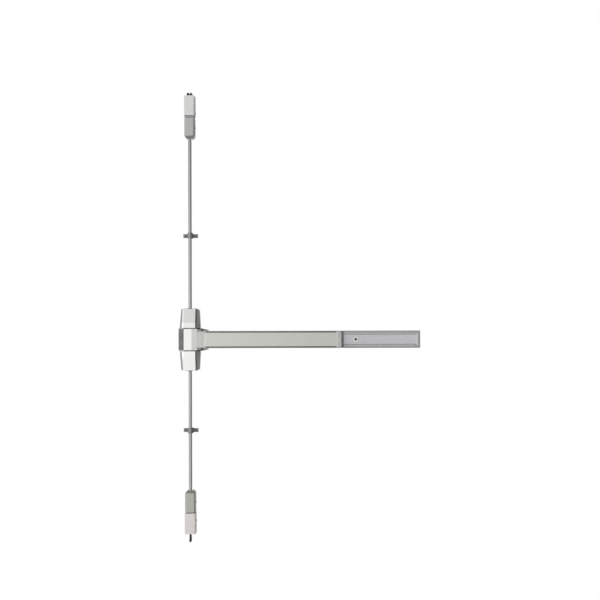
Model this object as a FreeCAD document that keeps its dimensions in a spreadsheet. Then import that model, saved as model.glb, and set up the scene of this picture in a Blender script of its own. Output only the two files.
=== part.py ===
import FreeCAD, Part
import os
import re
import Sketcher

# Panic exit bar with two vertical rods, for the surface of a single door.
# Millimetres. X runs along the bar, Z up the rods, and the door face is the plane Y = 0.
# A depth is a distance out from the door, so a point at depth d has Y = -d.
# The origin is on the door face, where the rods' line crosses the bar's line.

SIZES = {
    # overall
    "upper_reach": 802.5,      # bar line to the top of the top latch
    "lower_reach": 639,        # bar line to the underside of the bottom latch
    "pad_length": 450,         # push pad with both end caps
    "mech_length": 238.5,      # mechanism case beside the pad
    # rods
    "rod_diameter": 11.1,
    "rod_depth": 24,           # rod axis out from the door
    "rod_clearance": 0.4,      # rod to any cover it passes through
    "running_fit": 0.05,       # radial, pin or rod to its bearing
    "slide_gap": 0.3,          # between sliding faces
    # motion
    "pad_travel": 19,
    "bell_swing": 28,          # degrees, pad bell cranks
    "pad_arm": 39,
    "link_arm": 24,
    "link_travel": 11.7,
    "centre_swing": 34,        # degrees, rod cranks in the centre case
    "slide_arm": 20,
    "lift_arm": 22,
    "rod_travel": 13,
    "slot_play": 0.25,         # pin to the sides of its slot
    # sheet and casting thicknesses
    "base_thickness": 3,
    "cover_wall": 2.5,
    "latch_wall": 2,
    "rail_floor": 2.5,
    "rail_wall": 1.5,
    "filler_wall": 1.5,
    "pad_wall": 1.8,
    "pad_bevel": 4,
    "lever_plate": 3,
    # centre case
    "case_half_height": 101.5,
    "case_front_half": 19,     # flat front of the arms
    "case_edge_half": 24.5,    # outer side of the bevel beside the flat front
    "case_edge_drop": 3.4,     # how far that bevel falls back
    "case_end_half": 30.5,
    "case_end_depth": 38,
    "shoulder_height": 55,
    "shoulder_half": 33.4,
    "shoulder_depth": 51.5,
    "band_left": 36,
    "band_depth": 60,
    "band_bevel_width": 18.5,
    "band_bevel_drop": 15,
    "band_chamfer": 4,
    "wing_reach": 61,
    "crank_height": 45,        # rod crank pivots above and below the bar line
    "crank_seat": 17,          # back of the rod cranks, out from the door
    "crank_offset": 22,        # rod crank pivots to the side of the rods
    # rail, pad and mechanism case
    "rail_start": 47,
    "rail_half": 28.5,
    "rail_depth": 46,
    "pad_gap": 8,              # pad end to mechanism case
    "pad_depth": 97,           # pad face at rest
    "pad_skirt_depth": 40,     # back edge of the pad at rest
    "pad_side_gap": 0.8,
    "left_crank_inset": 103,   # pad end to crank pivot
    "right_crank_inset": 97,
    "bell_depth": 38,          # bell crank pivots
    "case_depth": 57,          # face of the mechanism case
    "dog_inset": 39.5,         # mechanism case end to the dogging key hole
    "key_radius": 4,
    "end_cap_length": 13,
    "bolt_hole": 5.5,          # every mounting hole
    # latches and guides
    "latch_half": 17,
    "latch_depth": 42,
    "head_length": 65.5,
    "foot_length": 68,
    "latch_gap": 7,
    "latch_body_length": 59,
    "lip_length": 7,
    "bolt_width": 18,
    "bolt_thick": 14,
    "bolt_proud": 11,
    "upper_guide_height": 344,
    "lower_guide_height": 300.5,
    "guide_half_width": 24.5,
    "guide_height": 17,
    "tongue_width": 7,
    "foot_proud": 28,
}

DERIVED = {
    "rod_radius": "rod_diameter / 2",
    "pin_radius": "lever_plate",
    "crank_front": "crank_seat + lever_plate",
    "pad_half": "rail_half - rail_wall - pad_side_gap",
    "pad_start": "rail_start",
    "pad_end": "pad_start + pad_length",
    "mech_start": "pad_end + pad_gap",
    "rail_end": "mech_start + mech_length",
    "bar_end": "rail_end + end_cap_length",
    "floor_top": "base_thickness + rail_floor",
    "band_half": "rail_half + 10",
    "window_half": "rail_half + slide_gap",
    "left_crank": "pad_start + left_crank_inset",
    "right_crank": "pad_end - right_crank_inset",
    "dog_place": "mech_start + dog_inset",
    "link_depth": "bell_depth - link_arm",
    "bell_half_swing": "bell_swing / 2",
    "centre_half_swing": "centre_swing / 2",
    "pin_depth": "bell_depth + pad_travel / 2",
    "slide_rest": "crank_offset - link_travel / 2",
    "lift_rest": "crank_height + rod_travel / 2",
    "lift_line": "crank_offset - lift_arm",
    "lift_sagitta": "lift_arm * (1 - cos(centre_half_swing))",
    "slide_sagitta": "slide_arm * (1 - cos(centre_half_swing))",
    "pad_sagitta": "pad_arm * (1 - cos(bell_half_swing))",
    "link_sagitta": "link_arm * (1 - cos(bell_half_swing))",
    "bolt_front": "rod_depth + bolt_thick / 2",
    "bolt_back": "rod_depth - bolt_thick / 2",
    "head_bottom": "upper_reach - head_length",
    "latch_top": "head_bottom - latch_gap",
    "latch_bottom": "latch_top - latch_body_length",
    "foot_top": "-(lower_reach - foot_length)",
    "shin_bottom": "foot_top + 2",
    "shin_top": "shin_bottom + latch_body_length + 5",
    "trip_height": "upper_reach - 25",
    "trip_depth": "bolt_front + 4.5",
    "body_half": "latch_half - 0.5",
    "cap_plug": "pad_half - pad_wall - 0.2",
}

doc = FreeCAD.newDocument("PanicExitBar")
sheet = doc.addObject("Spreadsheet::Sheet", "Sizes")
for row, (name, number) in enumerate(SIZES.items(), start=1):
    sheet.set("A%d" % row, name)
    sheet.set("B%d" % row, str(number))
    sheet.setAlias("B%d" % row, name)
doc.recompute()

NODES = {}
CUTS = []          # (before, after) pairs whose volumes must drop
COVER_SCREWS = []


# ---------------------------------------------------------------- helpers

def formula(text):
    """Write a formula in the size names as an expression on the sheet."""
    def swap(match):
        word = match.group(0)
        if word in DERIVED:
            return "(" + formula(DERIVED[word]) + ")"
        return "Sizes." + word if word in SIZES else word
    return re.sub(r"[a-z]\w*", swap, str(text))


def value(text):
    """The number that a formula gives with the present sizes."""
    found = sheet.evalExpression(formula(text))
    return float(getattr(found, "Value", found))


def bind(thing, **settings):
    """Bind properties to formulas; a double underscore stands for a dot."""
    for name, text in settings.items():
        thing.setExpression(name.replace("__", "."), formula(text))
    return thing


def node(name, thing):
    """Give a finished sub-part the name that its file will have."""
    thing.Label = name
    NODES[name] = thing
    return thing


def add(kind):
    return doc.addObject(kind, "Piece")


TURNS = {
    "X": FreeCAD.Rotation(FreeCAD.Vector(0, 1, 0), 90),
    "Y": FreeCAD.Rotation(FreeCAD.Vector(1, 0, 0), 90),
    "Z": FreeCAD.Rotation(),
}


def upright(kind, axis, centre, span):
    """A primitive that stands along one axis.

    centre holds the two other places in the order x, depth, z, and span the two ends; along Y
    both ends are depths.
    """
    thing = add(kind)
    thing.Placement = FreeCAD.Placement(FreeCAD.Vector(), TURNS[axis])
    low, high = span
    first, second = centre
    base = {
        "X": (low, "-(%s)" % first, second),
        "Y": (first, "-(%s)" % low, second),
        "Z": (first, "-(%s)" % second, low),
    }[axis]
    bind(thing, Placement__Base__x=base[0], Placement__Base__y=base[1], Placement__Base__z=base[2],
         Height="(%s) - (%s)" % (high, low))
    return thing


def drum(axis, centre, radius, span):
    return bind(upright("Part::Cylinder", axis, centre, span), Radius=radius)


def hexagon(axis, centre, radius, span):
    thing = upright("Part::Prism", axis, centre, span)
    thing.Polygon = 6
    return bind(thing, Circumradius=radius)


def block(x, depth, z):
    """A box between two places along each direction."""
    thing = add("Part::Box")
    return bind(thing,
                Placement__Base__x=x[0], Placement__Base__y="-(%s)" % depth[1],
                Placement__Base__z=z[0], Length="(%s) - (%s)" % (x[1], x[0]),
                Width="(%s) - (%s)" % (depth[1], depth[0]), Height="(%s) - (%s)" % (z[1], z[0]))


def fuse(*things):
    if len(things) == 1:
        return things[0]
    whole = add("Part::MultiFuse")
    whole.Shapes = list(things)
    whole.Refine = True
    return whole


def cut(base, *tools):
    rest = add("Part::Cut")
    rest.Base = base
    rest.Tool = fuse(*tools)
    rest.Refine = True
    CUTS.append((base, rest))
    return rest


def group(things):
    """Separate solids that share one node, such as a set of screws."""
    whole = add("Part::Compound")
    whole.Links = list(things)
    return whole


def plane(body, role):
    return [feature for feature in body.Origin.OriginFeatures if feature.Role == role][0]


def place_point(sketch, index, at):
    """Tie a point of a sketch to its two formulas."""
    geometry, end = index
    for kind, axis, text in (("DistanceX", -2, at[0]), ("DistanceY", -1, at[1])):
        number = value(text)
        if str(text) == "0":
            sketch.addConstraint(Sketcher.Constraint("PointOnObject", geometry, end, axis))
            continue
        place = sketch.addConstraint(Sketcher.Constraint(kind, -1, 1, geometry, end, number))
        sketch.setExpression("Constraints[%d]" % place, formula(text))


def sketch(body, role, offset, outline=(), holes=()):
    """A sketch on an origin plane: one closed outline of straight runs, and round holes.

    XZ_Plane takes (x, z) and its offset is a depth, YZ_Plane takes (-depth, z) and XY_Plane
    takes (x, -depth).
    """
    drawing = body.newObject("Sketcher::SketchObject", "Outline")
    drawing.AttachmentSupport = [(plane(body, role), "")]
    drawing.MapMode = "FlatFace"
    drawing.setExpression("AttachmentOffset.Base.z", formula(offset))
    spots = [FreeCAD.Vector(value(x), value(y), 0) for x, y in outline]
    count = len(spots)
    for index in range(count):
        drawing.addGeometry(Part.LineSegment(spots[index], spots[(index + 1) % count]))
    for index in range(count):
        drawing.addConstraint(Sketcher.Constraint("Coincident", index, 2, (index + 1) % count, 1))
    for index in range(count):
        place_point(drawing, (index, 1), outline[index])
    for x, y, radius in holes:
        centre = FreeCAD.Vector(value(x), value(y), 0)
        ring = Part.Circle(centre, FreeCAD.Vector(0, 0, 1), value(radius))
        index = drawing.addGeometry(ring)
        place_point(drawing, (index, 3), (x, y))
        size = drawing.addConstraint(Sketcher.Constraint("Radius", index, value(radius)))
        drawing.setExpression("Constraints[%d]" % size, formula(radius))
    return drawing


def new_body():
    return add("PartDesign::Body")


def pad(body, role, offset, length, outline=(), holes=(), both_ways=False):
    feature = body.newObject("PartDesign::Pad", "Pad")
    feature.Profile = sketch(body, role, offset, outline, holes)
    feature.setExpression("Length", formula(length))
    feature.Midplane = both_ways
    return body


def pocket(body, role, offset, length, outline=(), holes=(), both_ways=False):
    """A cut that runs along the plane's normal: towards -Y, +X or +Z."""
    before = body.Tip
    feature = body.newObject("PartDesign::Pocket", "Pocket")
    feature.Profile = sketch(body, role, offset, outline, holes)
    feature.setExpression("Length", formula(length))
    feature.Midplane = both_ways
    feature.Reversed = not both_ways
    CUTS.append((before, feature))
    return body


def oblong(x, y):
    """The four corners of a rectangle between two places each way."""
    return [(x[0], y[0]), (x[1], y[0]), (x[1], y[1]), (x[0], y[1])]


def both(text):
    """A place and its mirror image."""
    return ("-(%s)" % text, text)


def plate(name, role, offset, length, outline=(), holes=(), both_ways=False):
    return node(name, pad(new_body(), role, offset, length, outline, holes, both_ways))


def screw(axis, centre, face, depth, radius=2.0, outward=1):
    """A pan-head screw with a cross recess: face is the seat, outward the head's side."""
    head = 0.9 * radius
    tip = "(%s) - (%s)" % (face, outward * depth)
    top = "(%s) + (%s)" % (face, outward * head)
    shank_span = (tip, face) if outward > 0 else (face, tip)
    head_span = (face, top) if outward > 0 else (top, face)
    floor = "(%s) + (%s)" % (face, outward * head * 0.4)
    slot_span = (floor, top) if outward > 0 else (top, floor)
    solid = fuse(drum(axis, centre, radius, shank_span),
                 drum(axis, centre, 1.9 * radius, head_span))
    arms = []
    for long_way, short_way in ((1.1 * radius, 0.28 * radius), (0.28 * radius, 1.1 * radius)):
        first = ("(%s) - %s" % (centre[0], long_way), "(%s) + %s" % (centre[0], long_way))
        second = ("(%s) - %s" % (centre[1], short_way), "(%s) + %s" % (centre[1], short_way))
        spans = {"X": (slot_span, first, second), "Y": (first, slot_span, second),
                 "Z": (first, second, slot_span)}[axis]
        arms.append(block(*spans))
    return cut(solid, *arms)


# ---------------------------------------------------------------- centre case

def centre_base():
    """Back plate on the door with a tongue under the rail and turned-out ends for the bushes."""
    body = new_body()
    end = "case_half_height - cover_wall - 4"
    corners = [("-(band_left - 5)", "band_half - 4"), ("-(case_end_half - 4)", end),
               ("case_end_half - 4", end), ("band_left - 5", "band_half - 4"),
               ("band_left - 5", "pad_half - 3"), ("rail_start + 28", "pad_half - 3")]
    outline = corners + [(x, "-(%s)" % z) for x, z in reversed(corners)]
    bolts = [(x, z, "bolt_hole / 2") for x in ("-12", "12") for z in ("-62", "62")]
    seats = [(x, z, "2.05") for x in ("rail_start + 8", "rail_start + 20") for z in ("-14", "14")]
    pad(body, "XZ_Plane", "0", "base_thickness", outline, bolts + seats)
    for side in (1, -1):
        low = "%d * (case_half_height - cover_wall - 4)%s" % (side, "" if side > 0 else " - 3.5")
        outline = [("-(case_end_half - 6)", "0"), ("-(case_end_half - 6)", "-rod_depth"),
                   ("-(case_end_half - 12.5)", "-(rod_depth + 11)"),
                   ("case_end_half - 12.5", "-(rod_depth + 11)"),
                   ("case_end_half - 6", "-rod_depth"), ("case_end_half - 6", "0")]
        holes = [("0", "-rod_depth", "rod_radius + 3"), ("-15.5", "-10", "2.05"), ("15.5", "-10", "2.05")]
        pad(body, "XY_Plane", low, "3.5", outline, holes)
        lug = oblong(("-(band_left - cover_wall - 0.2)", "-(band_left - cover_wall - 5)"),
                     ("%d * 20" % side, "%d * 30" % side))
        pad(body, "XZ_Plane", "0", "20", lug)
        pocket(body, "YZ_Plane", "-band_left", "12", holes=[("-12", "%d * 25" % side, "2.05")])
        post = ("crank_offset", "%d * crank_height" % side)
        pad(body, "XZ_Plane", "base_thickness - 0.5", "crank_seat - base_thickness - 0.5",
            holes=[post + ("8",)])
        pad(body, "XZ_Plane", "crank_seat - 1", "lever_plate + 2.5", holes=[post + ("5",)])
    return node("centre_base", body)


def rod_bush(name, side):
    """Nylon sleeve that guides a rod where it leaves the centre case."""
    inner = "case_half_height - cover_wall - 4"
    outer = "case_half_height + 2"
    span = (inner, outer) if side > 0 else ("-(%s)" % outer, "-(%s)" % inner)
    centre = ("0", "rod_depth")
    sleeve = drum("Z", centre, "rod_radius + 2.9", span)
    bore = drum("Z", centre, "rod_radius + running_fit", span)
    return node(name, cut(sleeve, bore))


def case_section(half, wall, depth, inset):
    """Mirrored outline of an arm: upright walls, steep sides, edge bevels and a flat front."""
    half = "(%s) - %s" % (half, inset)
    edge = "case_edge_half - %s * 0.85" % inset
    front = "case_front_half - %s * 0.6" % inset
    low = "-((%s) - %s * 0.4)" % (wall, inset)
    high = "-((%s) - case_edge_drop - %s * 0.9)" % (depth, inset)
    face = "-((%s) - %s)" % (depth, inset)
    back = "0" if inset == "0" else "1"
    right = [(front, face), (edge, high), (half, low), (half, back)]
    return [("-(%s)" % x, y) for x, y in reversed(right)] + right


def loft(body, kind, sections):
    """A ruled loft through sections given as (height, outline)."""
    feature_sketches = [sketch(body, "XY_Plane", height, outline) for height, outline in sections]
    before = body.Tip
    feature = body.newObject(kind, "Loft")
    feature.Profile = feature_sketches[0]
    feature.Sections = feature_sketches[1:]
    feature.Ruled = True
    if kind == "PartDesign::SubtractiveLoft":
        CUTS.append((before, feature))


def case_arm(side, inset, start, stop):
    """Sections of one arm of the case, from the band out to the end where the rod leaves."""
    return [("%d * (%s)" % (side, start), case_section("band_left - 1.5", "23", "band_depth - 6", inset)),
            ("%d * shoulder_height" % side, case_section("shoulder_half", "22", "shoulder_depth", inset)),
            ("%d * (%s)" % (side, stop), case_section("case_end_half", "14", "case_end_depth", inset))]


def band_section(drop):
    """The band from above: left bevel, flat face, and a front that rolls down to the rail."""
    roll = [("rail_start - 39", "0"), ("rail_start - 21", "2.2"), ("rail_start - 9", "7")]
    left = "-(band_left - (%s) / 3)" % drop
    return [(left, "0"), (left, "-(band_depth - band_bevel_drop - %s)" % drop),
            ("-(band_left - band_bevel_width)", "-(band_depth - %s)" % drop)] + \
        [(x, "-(band_depth - %s - %s)" % (fall, drop)) for x, fall in roll] + \
        [("rail_start - 2", "-(rail_depth + 2 - %s)" % drop),
         ("wing_reach", "-(rail_depth - 4 - %s)" % drop), ("wing_reach", "0")]


def centre_cover():
    """Cast cover: a raised band across the bar line and two arms that taper along the rods."""
    body = new_body()
    flat_end = "band_half - band_chamfer"
    loft(body, "PartDesign::AdditiveLoft",
         [("-band_half", band_section("band_chamfer")), ("-(%s)" % flat_end, band_section("0")),
          (flat_end, band_section("0")), ("band_half", band_section("band_chamfer"))])
    bevel = "band_left - band_bevel_width"
    hollow = [("-(band_left - cover_wall)", "1"),
              ("-(band_left - cover_wall)", "-(band_depth - band_bevel_drop - 1)"),
              ("-(%s - 1)" % bevel, "-(band_depth - cover_wall)"),
              ("rail_start - 40", "-(band_depth - cover_wall)"),
              ("rail_start - 22", "-(band_depth - cover_wall - 2.2)"),
              ("rail_start - 10.5", "-(band_depth - cover_wall - 7)"),
              ("rail_start - 4", "-(rail_depth)"), ("rail_start - 4", "1")]
    for side in (1, -1):
        loft(body, "PartDesign::AdditiveLoft", case_arm(side, "0", "band_half - 1", "case_half_height"))
    hollow_half = "band_half - cover_wall - 1.5"
    pocket(body, "XY_Plane", "0", "(%s) * 2" % hollow_half, hollow, both_ways=True)
    for side in (1, -1):
        loft(body, "PartDesign::SubtractiveLoft",
             case_arm(side, "cover_wall", hollow_half + " - 0.5", "case_half_height - cover_wall"))
        corner = [("30", "%d * band_half" % side), ("wing_reach + 1", "%d * (band_half - 6)" % side),
                  ("wing_reach + 1", "%d * (band_half + 1)" % side), ("30", "%d * (band_half + 1)" % side)]
        pocket(body, "XZ_Plane", "-1", "band_depth + 2", corner)
        end = "case_half_height - 4" if side > 0 else "-(case_half_height + 1)"
        notch = oblong(both("rod_radius + 3.1"), ("-rod_depth", "1"))
        pocket(body, "XY_Plane", end, "5", notch)
        pocket(body, "XY_Plane", end, "5", holes=[("0", "-rod_depth", "rod_radius + 3.1"),
                                                  ("-15.5", "-10", "2.1"), ("15.5", "-10", "2.1")])
        pocket(body, "YZ_Plane", "-(band_left + 1)", "5", holes=[("-12", "%d * 25" % side, "2.1")])
    window = oblong(("rail_start - 1", "wing_reach + 1"), both("window_half"))
    pocket(body, "XZ_Plane", "-1", "band_depth + 2", window)
    opening = oblong(("rail_start - 5", "rail_start"), both("rail_half - rail_wall"))
    pocket(body, "XZ_Plane", "-1", "rail_depth - 6", opening)
    return node("centre_cover", body)


def centre_case():
    centre_base()
    rod_bush("rod_bush_upper", 1)
    rod_bush("rod_bush_lower", -1)
    centre_cover()
    COVER_SCREWS.extend(screw("Z", (x, "10"), "%d * case_half_height" % side, 7, 2.0, side)
                        for side in (1, -1) for x in ("-15.5", "15.5"))
    COVER_SCREWS.extend(screw("X", ("12", z), "-band_left", 7, 2.0, -1) for z in ("-25", "25"))
    clips = []
    for side in (1, -1):
        centre = ("crank_offset", "%d * crank_height" % side)
        depth = ("crank_front + 0.4", "crank_front + 1.4")
        clips.append(cut(drum("Y", centre, "7.5", depth), drum("Y", centre, "5", depth)))
    node("centre_crank_clips", group(clips))


centre_case()


# ---------------------------------------------------------------- rod cranks, slide and rods

def span_on(side, low, high):
    """A span given for the upper side, mirrored below the bar line for the lower one."""
    return (low, high) if side > 0 else ("-(%s)" % high, "-(%s)" % low)


def centre_crank(name, side):
    """Flat lever on its post: one arm follows the slide, the other lifts or lowers a rod."""
    body = new_body()
    reach = "%d * slide_arm" % -side
    pads = [("0", "0", "9"), ("0", reach, "6.2"), ("-lift_arm", "0", "6.2")]
    for ring in pads:
        pad(body, "XZ_Plane", "crank_seat", "lever_plate", holes=[ring])
    pad(body, "XZ_Plane", "crank_seat", "lever_plate",
        [("-7.5", "0"), ("7.5", "0"), ("5.2", reach), ("-5.2", reach)])
    pad(body, "XZ_Plane", "crank_seat", "lever_plate",
        [("0", "-7.5"), ("0", "7.5"), ("-lift_arm", "5.2"), ("-lift_arm", "-5.2")])
    holes = [("0", "0", "5 + running_fit"), ("0", reach, "pin_radius"), ("-lift_arm", "0", "pin_radius")]
    for hole in holes:
        pocket(body, "XZ_Plane", "crank_seat - 1", "lever_plate + 2", holes=[hole])
    turn = FreeCAD.Rotation(FreeCAD.Vector(0, 1, 0), 1)
    body.Placement = FreeCAD.Placement(FreeCAD.Vector(), turn)
    bind(body, Placement__Base__x="crank_offset", Placement__Base__z="%d * crank_height" % side,
         Placement__Rotation__Angle="%d * centre_half_swing" % side)
    lift_pin = ("crank_offset - lift_arm * cos(centre_half_swing)",
                "%d * (crank_height + lift_arm * sin(centre_half_swing))" % side)
    slide_pin = ("crank_offset - slide_arm * sin(centre_half_swing)",
                 "%d * (crank_height - slide_arm * cos(centre_half_swing))" % side)
    pins = [fuse(drum("Y", lift_pin, "pin_radius", ("crank_seat - 0.5", "rod_depth + 4")),
                 drum("Y", lift_pin, "pin_radius + 1.3", ("crank_seat - 1", "crank_seat"))),
            fuse(drum("Y", slide_pin, "pin_radius", ("link_depth - 2.2", "crank_front + 0.5")),
                 drum("Y", slide_pin, "pin_radius + 1.3", ("crank_front", "crank_front + 0.8")))]
    node(name, group([body] + pins))


def rod_lifter(side, prefix):
    """Slotted yoke on the crank's lift pin, threaded onto the rod and locked with a nut."""
    x_half = "pin_radius + slot_play + lift_sagitta / 2"
    slot_x = "lift_line + lift_sagitta / 2"
    slot = block(("%s - (%s)" % (slot_x, x_half), "%s + (%s)" % (slot_x, x_half)), ("20", "28"),
                 span_on(side, "lift_rest - pin_radius - slot_play", "lift_rest + pin_radius + slot_play"))
    yoke = block(both("8"), ("21", "27"), span_on(side, "lift_rest - 8", "lift_rest + 16"))
    axis = ("0", "rod_depth")
    boss = drum("Z", axis, "rod_radius + 2.15", span_on(side, "lift_rest + 13", "lift_rest + 30"))
    bore = drum("Z", axis, "rod_radius", span_on(side, "lift_rest + 15", "lift_rest + 31"))
    node(prefix + "_lifter", cut(fuse(yoke, boss), slot, bore))
    nut_span = span_on(side, "lift_rest + 30", "lift_rest + 36")
    nut = hexagon("Z", axis, "rod_radius * 1.65", nut_span)
    node(prefix + "_lock_nut", cut(nut, drum("Z", axis, "rod_radius", nut_span)))


def centre_slide():
    """Cross plate at the end of the link; its two slots turn the rod cranks."""
    half = "crank_height - slide_arm + 5.5"
    neck_end = "rail_start + 13"
    outline = [("slide_rest - 6", "-(%s)" % half), ("slide_rest + 6", "-(%s)" % half),
               ("slide_rest + 6", "-8"), (neck_end, "-8"), (neck_end, "8"), ("slide_rest + 6", "8"),
               ("slide_rest + 6", half), ("slide_rest - 6", half)]
    rivets = [("rail_start - 1", "0", "1.5"), ("rail_start + 9", "0", "1.5")]
    body = pad(new_body(), "XZ_Plane", "link_depth - 1.5", "lever_plate", outline, rivets)
    for side in (1, -1):
        middle = "%d * (crank_height - slide_arm + slide_sagitta / 2)" % side
        reach = "pin_radius + slot_play + slide_sagitta / 2"
        slot = oblong(("slide_rest - pin_radius - slot_play", "slide_rest + pin_radius + slot_play"),
                      ("%s - (%s)" % (middle, reach), "%s + (%s)" % (middle, reach)))
        pocket(body, "XZ_Plane", "link_depth - 3", "6", slot)
    return node("centre_slide", body)


def rods():
    shoulder = "head_bottom - 37"
    axis = ("0", "rod_depth")
    upper = fuse(drum("Z", axis, "rod_radius", ("lift_rest + 15", shoulder)),
                 drum("Z", axis, "4", (shoulder, "head_bottom + 15")))
    keeper = ("rod_depth", "head_bottom + 8")
    pin = drum("X", keeper, "1.5", both("bolt_width / 2 - 0.5"))
    node("upper_rod", group([cut(upper, drum("X", keeper, "1.5", both("6"))), pin]))
    node("lower_rod", drum("Z", axis, "rod_radius", ("foot_top + 13", "-(lift_rest + 15)")))


def rod_guide(prefix, height):
    """Cast guide with two ears on the door and a nylon sleeve round the rod."""
    axis = ("0", "rod_depth")
    tall = ("%s - guide_height / 2" % height, "%s + guide_height / 2" % height)
    ears = block(both("guide_half_width"), ("0", "4"), ("%s - 6.5" % height, "%s + 6.5" % height))
    stem = block(both("rod_radius + 2.65"), ("0", "rod_depth"), tall)
    collar = drum("Z", axis, "rod_radius + 2.65", tall)
    holes = [drum("Y", (x, height), "2.3", ("-1", "5")) for x in both("guide_half_width - 8")]
    sleeve = drum("Z", axis, "rod_radius + 1.3", tall)
    node(prefix + "_rod_guide", cut(fuse(ears, stem, collar), sleeve, *holes))
    bore = drum("Z", axis, "rod_radius + running_fit", tall)
    node(prefix + "_guide_bush", cut(drum("Z", axis, "rod_radius + 1.3", tall), bore))
    return [screw("Y", (x, height), "4", 4, 2.2) for x in both("guide_half_width - 8")]


centre_crank("upper_crank", 1)
centre_crank("lower_crank", -1)
rod_lifter(1, "upper")
rod_lifter(-1, "lower")
centre_slide()
rods()
node("guide_screws", group(rod_guide("upper", "upper_guide_height")
                           + rod_guide("lower", "-lower_guide_height")))


# ---------------------------------------------------------------- rail, link and pad cranks

def rail():
    """Channel that carries the pad: a floor against the brackets and two low side walls."""
    body = new_body()
    inner = "rail_half - rail_wall"
    outline = [("-base_thickness", "-rail_half"), ("-rail_depth", "-rail_half"),
               ("-rail_depth", "-(%s)" % inner), ("-floor_top", "-(%s)" % inner),
               ("-floor_top", inner), ("-rail_depth", inner), ("-rail_depth", "rail_half"),
               ("-base_thickness", "rail_half")]
    pad(body, "YZ_Plane", "rail_start", "rail_end - rail_start", outline)
    seats = [(x, z, "2.1") for x in ("rail_start + 8", "rail_start + 20") for z in ("-14", "14")]
    seats += [("rail_end - 14", z, "bolt_hole / 2 + 2.5") for z in ("-14", "14")]
    for place, reach in bracket_feet():
        seats += [(place, z, "1.55") for z in both(reach)]
    for seat in seats:
        pocket(body, "XZ_Plane", "0", "10", holes=[seat])
    return node("rail", body)


def bracket_feet():
    """Places along the rail, and off its middle, where inner brackets are screwed down."""
    return [("left_crank", "18"), ("right_crank", "18"), ("dog_place", "23.8"), ("dog_place + 130", "18")]


def crank_bracket(name, place):
    """Bent bracket on the rail floor with an ear each side of a bell crank."""
    body = new_body()
    feet = [(place, z, "1.6") for z in both("18")]
    pad(body, "XZ_Plane", "floor_top", "2.5",
        oblong(("%s - 13" % place, "%s + 13" % place), both("22")), feet)
    for low in ("11.5", "-14.5"):
        ear = [("%s - 12" % place, "-floor_top"), ("%s + 12" % place, "-floor_top"),
               ("%s + 7" % place, "-(bell_depth + 7)"), ("%s - 7" % place, "-(bell_depth + 7)")]
        pad(body, "XY_Plane", low, "3", ear, [(place, "-bell_depth", "4")])
    return node(name, body)


def bell_crank(name, place):
    """Two cheeks on a hub: the long arm follows the pad, the short one pulls the link."""
    body = new_body()
    cheeks = [("3", "lever_plate"), ("-6", "lever_plate")]
    for low, thick in cheeks:
        for ring in (("0", "0", "8.5"), ("-pad_arm", "0", "6"), ("0", "link_arm", "5")):
            pad(body, "XY_Plane", low, thick, holes=[ring])
        pad(body, "XY_Plane", low, thick,
            [("0", "-7.5"), ("0", "7.5"), ("-pad_arm", "5"), ("-pad_arm", "-5")])
        pad(body, "XY_Plane", low, thick,
            [("-7.5", "0"), ("7.5", "0"), ("4.4", "link_arm"), ("-4.4", "link_arm")])
    pad(body, "XY_Plane", "0", "22.4", holes=[("0", "0", "8")], both_ways=True)
    for hole in (("0", "0", "4 + running_fit"), ("-pad_arm", "0", "pin_radius"), ("0", "link_arm", "2.5")):
        pocket(body, "XY_Plane", "0", "30", holes=[hole], both_ways=True)
    body.Placement = FreeCAD.Placement(FreeCAD.Vector(), FreeCAD.Rotation(FreeCAD.Vector(0, 0, 1), 1))
    bind(body, Placement__Base__x=place, Placement__Base__y="-bell_depth",
         Placement__Rotation__Angle="bell_half_swing")
    pad_pin = ("%s - pad_arm * cos(bell_half_swing)" % place,
               "bell_depth + pad_arm * sin(bell_half_swing)")
    link_pin = ("%s - link_arm * sin(bell_half_swing)" % place,
                "bell_depth - link_arm * cos(bell_half_swing)")
    pins = [drum("Z", pad_pin, "pin_radius", both("11")), drum("Z", link_pin, "2.5", both("6.8"))]
    node(name, group([body] + pins))


def pad_bracket(name, place):
    """Bracket under the pad; its slots ride on the pad pin of a bell crank."""
    body = new_body()
    middle = "(%s - pad_arm + pad_sagitta / 2)" % place
    top = "pad_depth - pad_wall"
    pad(body, "XZ_Plane", "%s - 2.5" % top, "2.5",
        oblong(("%s - 17" % middle, "%s + 17" % middle), both("pad_half - pad_wall - 4")))
    for low in ("7.2", "-10"):
        ear = [("%s - 14" % middle, "-(%s)" % top), ("%s + 14" % middle, "-(%s)" % top),
               ("%s + 8" % middle, "-(pin_depth - 7)"), ("%s - 8" % middle, "-(pin_depth - 7)")]
        pad(body, "XY_Plane", low, "2.8", ear)
    reach = "pin_radius + slot_play + pad_sagitta / 2"
    slot = oblong(("%s - (%s)" % (middle, reach), "%s + (%s)" % (middle, reach)),
                  ("-(pin_depth + pin_radius + slot_play)", "-(pin_depth - pin_radius - slot_play)"))
    pocket(body, "XY_Plane", "0", "30", slot, both_ways=True)
    return node(name, body)


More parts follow.
